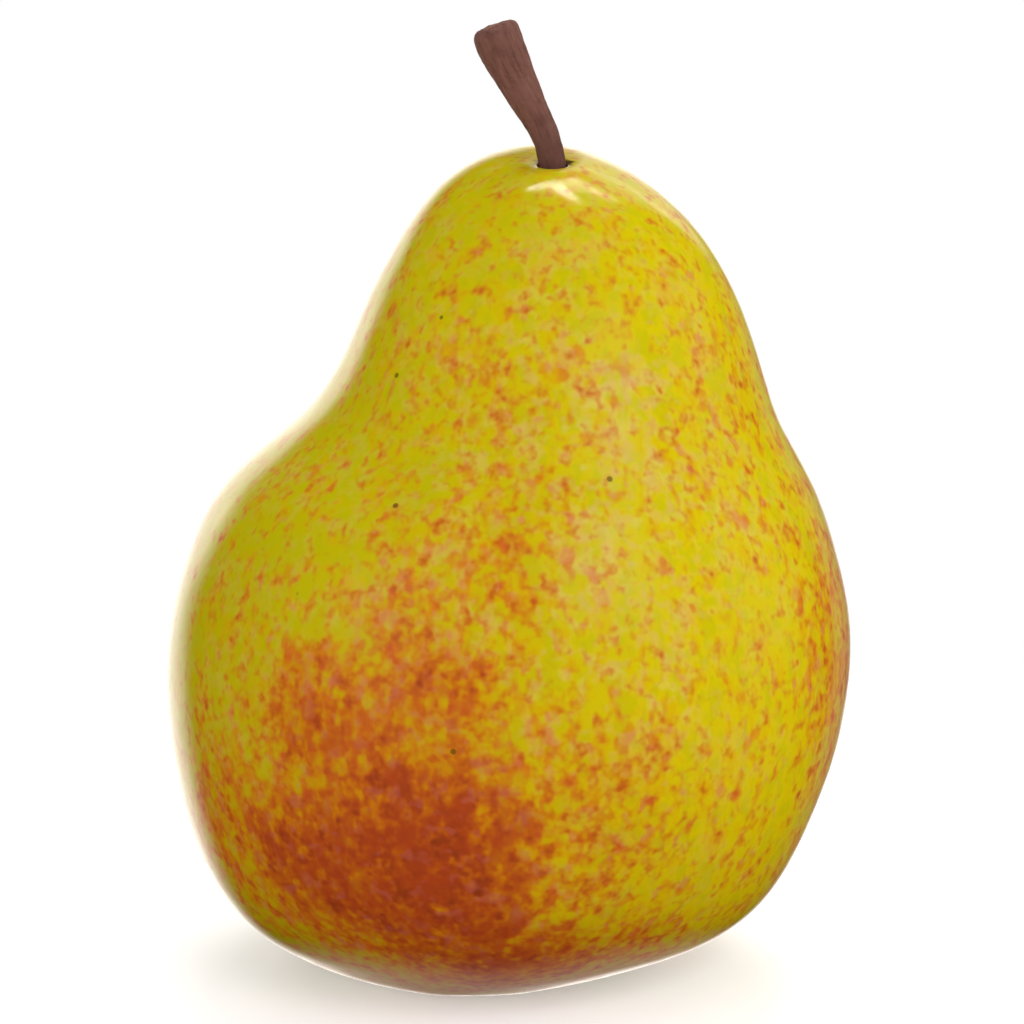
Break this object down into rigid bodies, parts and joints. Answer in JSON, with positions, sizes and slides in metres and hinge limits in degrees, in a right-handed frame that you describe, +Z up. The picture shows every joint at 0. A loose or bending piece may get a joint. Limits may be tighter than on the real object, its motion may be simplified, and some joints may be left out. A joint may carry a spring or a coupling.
{
  "type": "pear",
  "caption": "Ripe pear with a lopsided, full base, a narrow neck, a short woody stem and a dried calyx in the hollow underneath, which stands by itself.",
  "frame": {"origin": "centre of the pear's box on the surface that it stands on", "axes": "+Z up through the stem, +X to the pear's right, -Y to its front"},
  "size_m": [0.072, 0.069, 0.1001],
  "materials": {
    "skin": "smooth, glossy yellow-green skin with small red flecks and a red blush",
    "stem": "matte, reddish brown, with fine ridges along it",
    "calyx": "dry, dark brown and wrinkled"
  },
  "bodies": {
    "root": {"pear_body": "skin", "stem": "stem", "sepal_1": "calyx", "sepal_2": "calyx", "sepal_3": "calyx", "sepal_4": "calyx", "sepal_5": "calyx", "dried_stamens": "calyx"}
  },
  "joints": []
}
